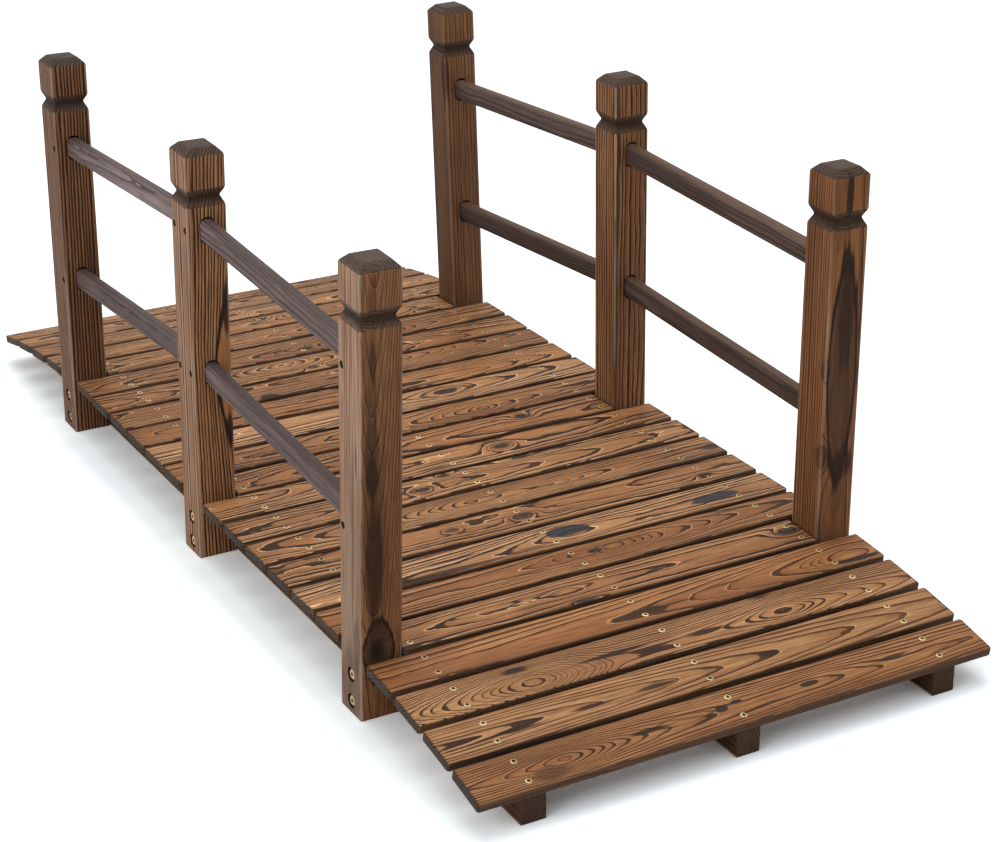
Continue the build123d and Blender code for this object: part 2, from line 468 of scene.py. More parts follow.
def makeWood(name, lay, size, look):
    look = {**plainLook, **look}
    material, tree, shader = newMaterial(name)
    back = lay.inverted()
    half = size / 2
    mapping = tree.nodes.new("ShaderNodeMapping")
    mapping.inputs["Location"].default_value = back.to_translation()
    mapping.inputs["Rotation"].default_value = back.to_euler()
    tree.links.new(tree.nodes.new("ShaderNodeTexCoord").outputs["Object"], mapping.inputs["Vector"])
    place = mapping.outputs["Vector"]
    along, aside, above = parted(tree, place)
    alongAway, asideAway, aboveAway = parted(tree, vectorCalc(tree, "ABSOLUTE", place))

    def faded(value, effect, *strengths):
        return fade(tree, value, *fades[effect], *strengths)

    def tinted(under, amount, shade):
        return mixColour(tree, amount, under, look[shade])

    def inside(value, face, effect, *strengths):
        # fades in or out at the effect's depths inside a face
        start, finish = depths[effect]
        return fade(tree, value, face - start, face - finish, *strengths)

    # knots swell the rings round a dark core, flames widen the dark rings, patches are burnt black
    swell, core, burn, patch = 0.0, 0.0, look["burn"], 0.0
    for at, spread, count in look["knots"]:
        spot = spotAround(tree, place, at, spread)
        swell = scaled(tree, spot, count * look["ringWidth"], swell)
        core = calc(tree, "MAXIMUM", core, spot)
    for at, spread, count, strength in look["flames"]:
        spot = spotAround(tree, place, at, spread, True)
        swell = scaled(tree, spot, count * look["ringWidth"], swell)
        burn = calc(tree, "MAXIMUM", burn, times(tree, spot, strength))
    for at, spread in look["patches"]:
        patch = calc(tree, "MAXIMUM", patch, spotAround(tree, place, at, spread))

    grain = tree.nodes.new("ShaderNodeGroup")
    grain.node_tree = grainTree
    given = {"Place": place, "Heart": look["heart"], "Lean": look["lean"],
             "Ring width": look["ringWidth"], "Wander": look["wander"], "Seed": look["seed"],
             "Swell": swell, "Burn": burn, "Flare": look["flare"]}
    for socket, value in given.items():
        feed(tree, grain.inputs[socket], value)
    late, phase, fibre, streak, cloud, drift, glint, burnt, rings = grain.outputs

    # the early wood of each ring
    early = mixColour(tree, faded(phase, "warmRings"), look["pale"], look["warm"])
    early = tinted(early, faded(drift, "warmDrift"), "warm")
    early = tinted(early, faded(streak, "warmStreaks"), "warm")
    early = tinted(early, faded(fibre, "darkFibres"), "dark")
    if "streakStrength" in look:
        # fine dark streaks along the grain
        streaky = faded(streak, "streaks", look["streakStrength"], 0.0)
        early = tinted(early, streaky, "line")
    early = tinted(early, times(tree, glint, look["glint"]), "bright")
    strength = look["lateStrength"]
    if "outer" in look:
        # the outer side is bleached
        bleach = inside(above, half.z, "outer", 0.0, look["outerStrength"])
        bleach = times(tree, bleach, faded(streak, "bleachedStreaks"))
        bleach = times(tree, bleach, faded(cloud, "bleachedClouds"))
        grey = faded(drift, "grey", look["outerGrey"], 0.0)
        early = mixColour(tree, bleach, early, mixColour(tree, grey, look["outer"], look["worn"]))
        strength = scaled(tree, bleach, -look["outerFade"], strength)
    lines = mixColour(tree, faded(burnt, "burntLines"), look["line"], look["dark"])
    colour = mixColour(tree, times(tree, late, strength, clamp=True), early, lines)

    # ovals, stains, knots and burnt patches, all with ragged edges
    streakShare, cloudShare, base = surface["ragged"]
    ragged = scaled(tree, cloud, cloudShare, base)
    ragged = scaled(tree, streak, streakShare, ragged)
    for at, spread, strength, *fill in look["ovals"]:
        # a closed dark ring, with clear wood or its own shade inside
        spot = spotAround(tree, place, at, spread, True)
        spot = scaled(tree, ragged, surface["ovalRagged"], spot)
        clear = mixColour(tree, surface["ovalFill"], early, fill[0]) if fill else early
        colour = mixColour(tree, faded(spot, "ovalFill", 0.0, strength), colour, clear)
        rim = faded(spot, "ovalRimIn", 0.0, strength)
        rim = times(tree, faded(spot, "ovalRimOut"), rim)
        colour = tinted(colour, rim, "dark")
    for at, spread, strength in look["stains"]:
        spot = added(tree, spotAround(tree, place, at, spread, True), ragged)
        colour = tinted(colour, faded(spot, "stain", 0.0, strength), "dark")
    soot = 0.0
    if look["knots"]:
        fibreShare, raggedShare = surface["knotRough"]
        rough = swing(tree, fibre, fibreShare, scaled(tree, ragged, raggedShare, core))
        soot = faded(rough, "knot", 0.0, look["knotStrength"])
    if look["patches"]:
        patch = faded(swing(tree, cloud, surface["patchRagged"], patch), "burntPatch")
        soot = calc(tree, "MAXIMUM", soot, patch)
    colour = tinted(colour, soot, "soot")

    if "outline" in look:
        # a dark rim round the top, next to the ends
        outline = scaled(tree, streak, surface["outlineRagged"], alongAway)
        outline = inside(outline, half.x, "outline", 0.0, look["outline"])
        colour = tinted(colour, outline, "dark")
    # end grain is dark, with the rings showing faintly in it
    end = inside(along, half.x - look["endReach"], "endFace")
    end = calc(tree, "MAXIMUM", inside(alongAway, half.x, "end"), end)
    endPhase = calc(tree, "FRACT", times(tree, rings, look["endRings"]))
    endColour = mixColour(tree, faded(endPhase, "endRings"), look["end"], look["soot"])
    endGlint = faded(endPhase, "endGlint", 0.0, look["endGlint"])
    endColour = tinted(endColour, endGlint, "worn")
    endColour = tinted(endColour, faded(fibre, "endFibres"), "soot")
    colour = mixColour(tree, times(tree, end, look["endStrength"]), colour, endColour)
    for holeAlong, holeAside, radius, depth in look["holes"]:
        # painted shade: the inside of a drilled hole is darkened with the soot colour
        off = vectorCalc(tree, "SUBTRACT", place, (holeAlong, holeAside, 0))
        off = vectorCalc(tree, "LENGTH", vectorCalc(tree, "MULTIPLY", off, (1, 1, 0)))
        holeShade = times(tree, inside(off, radius, "holeWall"), inside(above, half.z, "hole", 0.0, 0.9))
        holeShade = times(tree, holeShade, inside(above, half.z - depth, "holeBottom"))
        colour = tinted(colour, holeShade, "soot")
    if "grooveAt" in look:
        # end grain on the groove's slopes, and painted shade darkening its bottom
        inGroove = calc(tree, "ABSOLUTE", calc(tree, "SUBTRACT", along, look["grooveAt"]))
        scorch = scaled(tree, cloud, surface["scorchRagged"], inGroove)
        colour = mixColour(tree, faded(inGroove, "groove"), colour, endColour)
        colour = tinted(colour, faded(scorch, "scorch"), "dark")
    if "bandStrength" in look:
        # burnt bands wander along the long edges
        band = swing(tree, drift, surface["bandRagged"], asideAway)
        band = inside(band, half.y, "band", 0.0, look["bandStrength"])
        colour = tinted(colour, band, "dark")
    # painted shade: the long sides are darkened so the gaps between boards read dark, partly the sides'
    # own burnt colour
    if "sideStrength" in look:
        side = times(tree, inside(asideAway, half.y, "side"), look["sideStrength"])
        colour = tinted(colour, side, "side")
    # the long corners are tinted: partly wear, partly a painted sheen on the rounded edges
    corner = calc(tree, "SUBTRACT", half.y + half.z, added(tree, asideAway, aboveAway))
    worn = times(tree, faded(corner, "corner"), faded(cloud, "cornerClouds"))
    colour = tinted(colour, times(tree, worn, look["wornStrength"]), "worn")
    if "cap" in look:
        # painted light and shade on the upper, inner part of a rail: its top is darker than the side on
        # the left rails, warmer and lighter on the right ones
        upper = faded(added(tree, aside, above), "cap", 0.0, look["capStrength"])
        colour = tinted(colour, upper, "cap")
    tree.links.new(colour, shader.inputs["Base Color"])

    dull = scaled(tree, fibre, surface["fibreRough"], surface["rough"])
    dull = scaled(tree, late, surface["lateRough"], dull, clamp=True)
    tree.links.new(dull, shader.inputs["Roughness"])
    bump = tree.nodes.new("ShaderNodeBump")
    bump.inputs["Strength"].default_value = 1.0
    bump.inputs["Distance"].default_value = look["relief"]
    height = times(tree, late, surface["lateRelief"])
    height = scaled(tree, fibre, surface["fibreRelief"], height)
    tree.links.new(height, bump.inputs["Height"])
    tree.links.new(bump.outputs["Normal"], shader.inputs["Normal"])
    shader.inputs["Specular IOR Level"].default_value = surface["gloss"]
    return material


def toned(look, shade, redder):
    # the same wood lighter or darker, and redder below 1
    for key in ("bright", "pale", "warm"):
        red, green, blue = look[key]
        look[key] = (red * shade, green * shade * redder, blue * shade * redder * redder)


spotKinds = ("flames", "knots", "ovals", "stains", "patches")


def metres(*millimetres):
    return [value / 1000 for value in millimetres]


def dress(piece, material):
    piece.data.materials.clear()
    piece.data.materials.append(material)
    smooth(piece)


# Deck boards

board = {
    "edge": 0.0021,          # rounding of the top edges
    "corner": 0.0034,        # rounding of the upright corners
    "ease": 0.0011,          # rounding of the lower edges
    "sharp": 40,             # degrees at which two faces meet in an edge to round
    "trim": 0.0014,          # the most that an end is sawn short
    "trimReach": 0.008,      # the corners this near to an end move with it
    "screwFromMiddle": 0.016,
    "sinkWidth": 0.0098,
    "sinkDepth": 0.0022,
    "sinkProud": 0.0002,     # the cutter stands out of the face by so much
    "spotDepth": 0.05,      # spots and knots reach through the board
    "knotDepth": 0.06,
    "bolderFrom": 4,         # boards after the first few have a bolder figure
}
boardLook = {
    "bright": (0.76, 0.43, 0.22),
    "pale": (0.6, 0.3, 0.125),
    "warm": (0.34, 0.14, 0.052),
    "line": (0.05, 0.022, 0.012),
    "dark": (0.034, 0.017, 0.011),
    "soot": (0.024, 0.018, 0.017),
    "end": (0.075, 0.06, 0.053),
    # side: painted shade for the gaps between boards, partly the sides' own burnt colour
    "side": (0.072, 0.04, 0.027),
    "worn": (0.2, 0.12, 0.075),
    "sideStrength": 0.8,
    "wornStrength": 0.25,
    "bandStrength": 0.15,
    "outline": 0.75,
}
bolderLook = {
    "burn": 0.14, "glint": 0.85, "streakStrength": 0.7, "relief": 0.0016,
    "bright": (0.92, 0.56, 0.31), "line": (0.036, 0.017, 0.01),
}
# Limits of what is drawn at random for a board; those of spots are in millimetres
ranges = {
    "heartAside": (-0.02, 0.02), "heartUnder": (-0.052, -0.026),
    "leanAside": (-0.02, 0.02), "leanDown": (0.015, 0.045),
    "ringWidth": (0.0033, 0.004), "wander": (0.009, 0.013), "seed": (0, 60),
    "shade": (0.84, 1.04), "redder": (0.88, 1.01), "lateStrength": (0.95, 1.0), "flare": (0.2, 0.8),
    "spotAlong": (-300, 300), "flameAside": (-15, 15), "flameLong": (50, 100), "flameRings": (-11, -5),
    "knotAside": (-25, 25), "knotLong": (12, 22), "knotWide": (7, 11), "stainAside": (-20, 20),
}
# and what is the same on all of them: a stain's spread both ways and its strength
chance = {"flameWide": 26, "flameStrength": 0.1, "knotRings": 2, "stain": (32, 4, 0.85)}

# two screws from each board into each stringer
stringerNodes = ("left_stringer", "middle_stringer", "right_stringer")
screwLines = [(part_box(node)[0].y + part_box(node)[1].y) / 2 for node in stringerNodes]
screwSpots = [(line, way * board["screwFromMiddle"]) for line in screwLines for way in (-1, 1)]


def shapeBoard(name, size):
    made = addBlock(name, size)
    startEdit(made)
    pick("EDGE", lambda edge: runsAlong(edge, 2))
    bpy.ops.mesh.bevel(offset=board["corner"], segments=4)
    sharp = radians(board["sharp"])
    pick("EDGE", lambda edge: edge.calc_face_angle(0) > sharp and middle(edge).z > 0)
    bpy.ops.mesh.bevel(offset=board["edge"], segments=4)
    pick("EDGE", lambda edge: edge.calc_face_angle(0) > sharp and middle(edge).z < 0)
    bpy.ops.mesh.bevel(offset=board["ease"], segments=2)
    endEdit()
    sinks = []
    radius = board["sinkWidth"] / 2
    height = size.z / 2 - board["sinkDepth"] / 2 + board["sinkProud"]
    for line, sideways in screwSpots:
        deselectAll()
        bpy.ops.mesh.primitive_cone_add(vertices=24, radius1=radius / 2, radius2=radius,
                                        depth=board["sinkDepth"], location=(line, sideways, height))
        sinks.append(bpy.context.object)
    cutter = joinAll(sinks, "sinks")
    cutAway(made, cutter)
    removeAll(cutter)
    return made


boardNodes = sorted(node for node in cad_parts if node.startswith("deck_board"))
boardLays = {node: layOf(node, (-1, 0, 0), (0, 0, 1)) for node in boardNodes}
fullLength = boardLays[boardNodes[0]][1].x
shortNodes = [node for node in boardNodes if boardLays[node][1].x < fullLength - 0.01]
blanks = {False: shapeBoard("fullBoard", boardLays[boardNodes[6]][1]),
          True: shapeBoard("shortBoard", boardLays[shortNodes[0]][1])}

# Boards whose figure stands out, by number, with its spots in millimetres: the place along and across
# the board, the spread both ways, then a knot's rings, a flame's rings and strength, or the strength alone
boardLooks = {
    "01": {
        "heart": (0, -0.004, -0.016), "lean": (0, 0, -0.03), "ringWidth": 0.003, "wander": 0.005,
        "seed": 3.1, "tone": (0.8, 0.93), "glint": 0.45, "flare": 0.4,
        "line": (0.07, 0.029, 0.014),
        "flames": [(-215, 0, 65, 22, -8, 0.1), (100, 0, 60, 12, -2, 0.3), (215, 2, 50, 8, 1, 0.5)],
        "ovals": [(-66, 2, 50, 9, 0.7)],
        "stains": [(-112, 2, 38, 5, 0.95), (-241, -14, 34, 14, 0.5), (215, 2, 34, 5, 0.9)],
        "patches": [(-18, 1, 11, 6), (4, 6, 9, 3), (98, 0, 17, 5)]},
    "02": {
        "heart": (0, -0.004, -0.016), "lean": (0, 0, -0.045), "ringWidth": 0.004, "wander": 0.004,
        "seed": 8.4, "tone": (0.88, 1.02), "glint": 0.5, "flare": 1.2,
        "line": (0.085, 0.036, 0.016),
        "stains": [(-240, -8, 52, 6, 0.92), (-149, -6, 44, 5, 0.92), (-65, -4, 34, 5, 0.88)]},
    "03": {
        "heart": (0, -0.015, -0.026), "lean": (0, 0, 0.006), "ringWidth": 0.0037, "wander": 0.004,
        "seed": 5.7, "tone": (1.0, 1.03), "flare": 0.6,
        "knots": [(-192, 16, 24, 9, 0), (141, 27, 24, 8, 0)],
        "flames": [(-180, -10, 150, 50, -22, 0.1), (-80, -8, 90, 45, 6, 0.0), (152, -6, 110, 34, -9, 0.1)],
        "stains": [(-75, -2, 55, 5, 0.95), (45, -8, 34, 6, 0.95)]},
    "04": {
        "heart": (0, -0.012, -0.04), "lean": (0, 0, 0.025), "ringWidth": 0.0048, "wander": 0.006,
        "seed": 12.9, "tone": (0.9, 0.91), "lateStrength": 0.85, "flare": 0.6,
        "flames": [(290, -10, 80, 30, -7, 0.1)],
        "stains": [(29, -10, 60, 4, 0.7), (118, 0, 45, 4, 0.6)],
        "patches": [(300, -21, 36, 6)]},
    "05": {
        "heart": (0, -0.008, -0.046), "ringWidth": 0.0036, "wander": 0.007,
        "seed": 17.3, "tone": (1.0, 0.98),
        "ovals": [(-160, 6, 62, 8, 0.95), (-58, 4, 52, 9, 0.95)],
        "flames": [(-165, 5, 90, 18, -2, 0.0), (-55, 3, 80, 18, -2, 0.0)],
        "knots": [(-46, -26, 26, 8, 1), (262, 4, 26, 13, 3)]},
    "06": {
        "heart": (0, 0.004, -0.044), "lean": (0, 0, -0.02), "ringWidth": 0.0035, "wander": 0.008,
        "seed": 21.3, "tone": (0.9, 0.9), "lateStrength": 0.85, "flare": 0.3,
        "knots": [(28, 7, 15, 8, 2)],
        "flames": [(50, 5, 85, 28, -9, 0.0)]},
    "07": {
        "heart": (0, -0.014, -0.04), "lean": (0, 0.02, 0.015), "ringWidth": 0.0037, "wander": 0.008,
        "seed": 27.7, "tone": (1.08, 1.04), "glint": 1.0, "flare": 0.3, "soot": (0.034, 0.036, 0.042),
        "patches": [(26, 4, 40, 15), (240, -4, 40, 11)],
        "flames": [(26, 4, 70, 26, -4, 0.0)],
        "stains": [(-134, 3, 50, 4, 0.9), (-150, -22, 150, 6, 0.85)]},
    "08": {
        "heart": (0, 0.012, -0.044), "lean": (0, 0, 0.02), "ringWidth": 0.0035, "wander": 0.01,
        "seed": 33.1, "tone": (0.92, 0.95),
        "knots": [(0, 2, 22, 12, 3), (-95, 8, 16, 8, 2), (264, -10, 16, 8, 2)],
        "flames": [(130, -19, 60, 9, 1, 0.6)]},
    "09": {
        "heart": (0, 0.006, -0.04), "lean": (0, 0, 0.02), "ringWidth": 0.0035, "wander": 0.009,
        "seed": 38.2, "tone": (1.0, 0.98),
        "flames": [(-40, -1, 100, 28, -9, 0.0), (81, -6, 80, 16, -3, 0.0)],
        "stains": [(322, -5, 25, 12, 0.9)]},
    "10": {
        "heart": (0, -0.006, -0.044), "lean": (0, 0, -0.03), "ringWidth": 0.0037, "wander": 0.012,
        "seed": 41.9, "tone": (1.05, 1.02),
        "knots": [(-74, -4, 20, 10, 3), (-30, 22, 18, 7, 2)],
        "flames": [(86, 21, 70, 9, 2.6, 0.4)]},
    "11": {
        "heart": (0, 0.012, -0.045), "lean": (0, 0, -0.02), "ringWidth": 0.0039, "wander": 0.01,
        "seed": 44.6, "tone": (0.99, 0.97),
        "knots": [(82, 1, 22, 12, 4)]},
    "12": {
        "heart": (0, -0.012, -0.044), "lean": (0, 0, 0.03), "ringWidth": 0.0037, "wander": 0.01,
        "seed": 47.5, "tone": (0.86, 0.89),
        "knots": [(156, 8, 20, 11, 3)]},
    "13": {
        "heart": (0, 0.006, -0.044), "lean": (0, 0, 0.02), "ringWidth": 0.0037, "wander": 0.009,
        "seed": 51.0, "tone": (0.92, 0.93),
        "flames": [(124, -10, 80, 26, -8, 0.0)]},
    "14": {
        "heart": (0, 0.012, -0.048), "lean": (0, 0, -0.02), "ringWidth": 0.0041, "wander": 0.007,
        "seed": 55.3, "tone": (1.16, 1.06), "flare": 0.2,
        "ovals": [(106, 5, 50, 20, 0.9)],
        "patches": [(106, 5, 24, 11)],
        "flames": [(106, 5, 80, 26, -4, 0.0)]},
}

dice, sawing = random.Random(11), random.Random(4)


def draw(name):
    return dice.uniform(*ranges[name])


for number, node in enumerate(boardNodes):
    lay, size = boardLays[node]
    label = node[-2:]
    piece = copyPiece(blanks[node in shortNodes], "board_" + label)
    if number % 4:
        # sawn a little short at both ends
        for way in (-1, 1):
            startEdit(piece)
            pick("VERT", lambda corner: way * corner.co.x > size.x / 2 - board["trimReach"])
            bpy.ops.transform.translate(value=(-way * board["trim"] * sawing.random(), 0, 0))
            endEdit()
    putAt(piece, lay)
    look = dict(boardLook)
    look["heart"] = (0, draw("heartAside"), draw("heartUnder"))
    look["lean"] = (0, draw("leanAside"), dice.choice((-1, 1)) * draw("leanDown"))
    look.update({key: draw(key) for key in ("ringWidth", "wander", "seed")})
    look["tone"] = (draw("shade"), draw("redder"))
    look.update({key: draw(key) for key in ("lateStrength", "flare")})
    look["flames"] = [(draw("spotAlong"), draw("flameAside"), draw("flameLong"), chance["flameWide"],
                       draw("flameRings"), chance["flameStrength"])]
    look["knots"] = [(draw("spotAlong"), draw("knotAside"), draw("knotLong"), draw("knotWide"),
                      chance["knotRings"])]
    look["stains"] = [(draw("spotAlong"), draw("stainAside"), *chance["stain"])]
    if number >= board["bolderFrom"]:
        look.update(bolderLook)
    if label in boardLooks:
        for key in ("flames", "knots", "stains", "lateStrength", "flare", "lean"):
            look.pop(key)
        look.update(boardLooks[label])
    for kind in spotKinds:
        deep = board["knotDepth" if kind == "knots" else "spotDepth"]
        look[kind] = [((*metres(along, aside), 0), (*metres(long, wide), deep), *more)
                      for along, aside, long, wide, *more in look.get(kind, ())]
    toned(look, *look["tone"])
    dress(piece, makeWood("boardWood_" + label, lay, size, look))
    finishPiece(piece, "deck_wood", node)
print("deck boards made:", len(boardNodes))


# Posts

post = {
    "arris": 0.0018,          # easing of the edges
    "headRise": 0.009,        # the head slopes in over this height
    "headInset": 0.009,
    "headBlock": 0.042,       # from the sloped part down to the groove
    "grooveHalf": 0.0105,
    "grooveDepth": 0.0055,
    "boltHeights": (0.0155, 0.0495),
    "boltSink": (0.009, 0.008),      # radius and depth
    "screwHole": (0.0045, 0.005),
    "screwOff": 0.0172,              # from the post's middle to a rail screw
    "slotPlay": (0.0008, 0.0032),    # beside and over the rail
    "slotLonger": 0.0006,
    "slotFlat": 0.0002,
}
postLook = {
    "bright": (0.46, 0.235, 0.115),
    "pale": (0.33, 0.16, 0.072),
    "warm": (0.18, 0.078, 0.034),
    "line": (0.046, 0.022, 0.012),
    "dark": (0.03, 0.015, 0.009),
    "soot": (0.018, 0.013, 0.012),
    "end": (0.07, 0.05, 0.039),
    "endReach": 0.0088,
    "endStrength": 0.85,
    "endRings": 1.4,
    "endGlint": 0.4,
    # the corner colour: partly wear, partly a painted sheen
    "worn": (0.38, 0.29, 0.22),
    "wornStrength": 0.65,
    "relief": 0.001,
    "flare": 0.25,
    "burn": 0.12,
    "lateStrength": 1.0,
    "outerFade": 0.3,
}


def shapePost(name, size):
    top = size.x / 2
    levels = {"slope": top - post["headRise"]}
    levels["block"] = levels["slope"] - post["headBlock"]
    levels["groove"] = levels["block"] - post["grooveHalf"]
    levels["shoulder"] = levels["groove"] - post["grooveHalf"]
    made = addBlock(name, size)
    startEdit(made)
    for level in ("slope", "block", "groove", "shoulder"):
        cutAcross(levels[level])
    pick("VERT", lambda corner: abs(corner.co.x - levels["groove"]) < 0.001)
    share = 1 - 2 * post["grooveDepth"] / size.y
    bpy.ops.transform.resize(value=(1, share, share), center_override=(0, 0, 0))
    pick("VERT", lambda corner: abs(corner.co.x - top) < 0.001)
    share = 1 - 2 * post["headInset"] / size.y
    bpy.ops.transform.resize(value=(1, share, share), center_override=(0, 0, 0))
    pick("EDGE", lambda edge: middle(edge).x > -top + 0.001)
    bpy.ops.mesh.bevel(offset=post["arris"], segments=3)
    endEdit()
    return made


railNodes = sorted(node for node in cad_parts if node.endswith("_rail"))
railLays = {node: layOf(node, (0, 1, 0), (0, 0, 1)) for node in railNodes}


def slotCutter(node):
    # a round-ended slot that holds the rail's end with play above and below it
    lay, size = railLays[node]
    beside, over = post["slotPlay"]
    wide, tall = size.y + 2 * beside, size.z + 2 * over
    cutter = addBlock("slot", (size.x + post["slotLonger"], wide, tall))
    roundAlong(cutter, wide / 2 - post["slotFlat"], 8)
    putAt(cutter, lay)
    return cutter


def drill(at, radius, depth, lay):
    # a round hole in the outer face of a post, at a place in the post's own lay
    deselectAll()
    bpy.ops.mesh.primitive_cylinder_add(vertices=32, radius=radius, depth=2 * depth, location=at)
    bit = bpy.context.object
    bpy.ops.object.transform_apply()
    putAt(bit, lay)
    return bit


face = 25.5        # from a post's middle to its faces, in millimetres as all spots are
postNodes = sorted(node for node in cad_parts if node.endswith("_post"))
postLooks = {
    "left_front_post": {
        "heart": (0, 0.034, 0.008), "lean": (0, -0.024, 0), "ringWidth": 0.0012, "wander": 0.003,
        "seed": 2.2, "tone": (1.0, 0.98), "lateStrength": 0.6, "glint": 0.5, "flare": 0.0, "burn": 0.0,
        "outer": (0.6, 0.365, 0.245), "outerStrength": 0.78, "outerGrey": 0.8,
        "streakStrength": 0.45, "bright": (0.56, 0.28, 0.135),
        "end": (0.095, 0.07, 0.056), "endGlint": 1.0, "endRings": 0.7,
        "knots": [((-182, -face, 6), (20, 20, 11), 4.0)],
        "ovals": [((-184, -face, 4), (54, 8, 25), 1.0, (0.024, 0.016, 0.012))],
        "stains": [((232, -face, 9), (50, 12, 6), 0.5), ((160, -face, 10), (40, 12, 5), 0.7),
                   ((112, -face, 11), (50, 12, 11), 0.35), ((66, -face, 11), (45, 12, 12), 0.4),
                   ((28, -face, 11), (36, 12, 11), 0.85), ((-60, -face, 10), (220, 12, 22), 0.4),
                   ((-75, -face, 9), (120, 12, 16), 0.85), ((-176, -16, face), (50, 12, 10), 0.45),
                   ((-236, 0, face), (70, 34, 10), 0.45), ((50, -16, face), (34, 2, 10), 0.75),
                   ((-20, -8, face), (120, 5, 10), 0.35), ((90, 6, face), (90, 4, 10), 0.3)]},
    "left_middle_post": {
        "heart": (0, 0.07, 0.08), "ringWidth": 0.0036, "wander": 0.005, "seed": 6.1,
        "tone": (1.4, 1.0), "outer": (0.58, 0.36, 0.24), "outerStrength": 0.68,
        "burn": 0.15, "streakStrength": 0.5,
        "flames": [((-18, -face, -26), (170, 30, 32), 5.0, 0.0)],
        "ovals": [((-18, -face, -26), (128, 40, 27), 1.0, (0.44, 0.19, 0.072))],
        "stains": [((66, -face, -21), (44, 12, 8), 0.92), ((-100, -face, -22), (44, 12, 10), 0.94)]},
    "left_back_post": {
        "heart": (0, 0.06, 0.09), "ringWidth": 0.0034, "wander": 0.005, "seed": 9.5,
        "tone": (0.8, 0.92), "outer": (0.4, 0.24, 0.165), "outerStrength": 0.74, "burn": 0.3},
    "right_front_post": {
        "heart": (0, -0.04, -0.002), "lean": (0, -0.01, 0), "ringWidth": 0.0042, "wander": 0.0016,
        "seed": 14.8, "tone": (0.92, 0.88), "lateStrength": 0.8, "burn": 0.0, "knotStrength": 0.65,
        "ovals": [((22, face, -1), (190, 60, 27), 1.0, (0.062, 0.035, 0.021))],
        "stains": [((238, face, -3), (60, 14, 7), 0.92), ((85, face, 1), (110, 20, 14), 0.7),
                   ((-98, face, 6), (34, 30, 18), 0.8), ((-140, face, 0), (60, 30, 14), 0.45)],
        "knots": [((25, 23.5, -face), (16, 12, 10), 1.0), ((-85, 25, -22.5), (26, 18, 14), 2.0)]},
    "right_middle_post": {
        "heart": (0, -0.08, 0.07), "ringWidth": 0.0042, "wander": 0.007, "seed": 18.2,
        "tone": (1.14, 0.93), "burn": 0.07},
    "right_back_post": {
        "heart": (0, 0.004, 0.25), "ringWidth": 0.0058, "wander": 0.001, "seed": 25.4,
        "tone": (0.74, 1.0), "flare": 0.0, "lateStrength": 0.75, "wornStrength": 0.3,
        "stains": [((170, 22, -face), (60, 12, 12), 0.8), ((10, -4, -face), (420, 34, 4), 0.3)]},
}
boltPlaces, screwPlaces = [], []
for node in postNodes:
    sideName, placeName, _ = node.split("_")
    side = -1 if sideName == "left" else 1
    lay, size = layOf(node, (side, 0, 0), (0, side, 0))
    piece = shapePost(node.replace("_post", "Post").replace("_", ""), size)
    putAt(piece, lay)
    startEdit(piece)
    bpy.ops.mesh.select_all(action="SELECT")
    bpy.ops.mesh.bisect(plane_co=(0, 0, 0), plane_no=(0, 0, 1), threshold=0.000001,
                        clear_inner=True, use_fill=True)
    endEdit()
    cutters, holes = [], []
    for rail in railNodes:
        railSide, railEnd, *_ = rail.split("_")
        if railSide != sideName or placeName not in ("middle", railEnd):
            continue
        cutters.append(slotCutter(rail))
        # screws into the rail's end, through the post's outer face
        railMiddle = lay.inverted() @ railLays[rail][0].to_translation()
        railWay = (lay.inverted().to_3x3() @ railLays[rail][0].to_3x3() @ Vector((1, 0, 0))).normalized()
        off = post["screwOff"] if railMiddle.y > 0 else -post["screwOff"]
        onRail = railMiddle + railWay * ((off - railMiddle.y) / railWay.y)
        spot = Vector((onRail.x, onRail.y, size.z / 2))
        screwPlaces.append(lay @ Matrix.Translation(spot))
        cutters.append(drill(spot, *post["screwHole"], lay))
        holes.append((spot.x, spot.y, *post["screwHole"]))
    for height in post["boltHeights"]:
        spot = Vector((height - size.x / 2, 0, size.z / 2))
        boltPlaces.append(lay @ Matrix.Translation(spot))
        cutters.append(drill(spot, *post["boltSink"], lay))
        holes.append((spot.x, spot.y, *post["boltSink"]))
    for cutter in cutters:
        cutAway(piece, cutter)
    removeAll(*cutters)
    groove = size.x / 2 - post["headRise"] - post["headBlock"] - post["grooveHalf"]
    look = {**postLook, **postLooks[node], "holes": holes, "grooveAt": groove}
    for kind in spotKinds:
        look[kind] = [(metres(*at), metres(*spread), *more) for at, spread, *more in look.get(kind, ())]
    toned(look, *look["tone"])
    dress(piece, makeWood("postWood_" + sideName + placeName, lay, size, look))
    finishPiece(piece, "post_wood", node)
print("posts made:", len(postNodes))


# Rails

# lowerShade darkens the lower rails with painted shade
railShape = {"round": 0.0068, "lowerShade": 0.85}
railLook = {
    "ringWidth": 0.003, "wander": 0.005, "flare": 0.0, "glint": 0.15,
    "lateStrength": 0.6, "streakStrength": 0.5,
    "bright": (0.36, 0.29, 0.27),
    "pale": (0.32, 0.248, 0.246),
    "warm": (0.132, 0.09, 0.08),
    "line": (0.052, 0.036, 0.032),
    "dark": (0.05, 0.034, 0.031),
    "soot": (0.018, 0.014, 0.013),
    "end": (0.085, 0.062, 0.05),
    "worn": (0.24, 0.19, 0.17),
    "wornStrength": 0.3,
    "capStrength": 0.6,
}
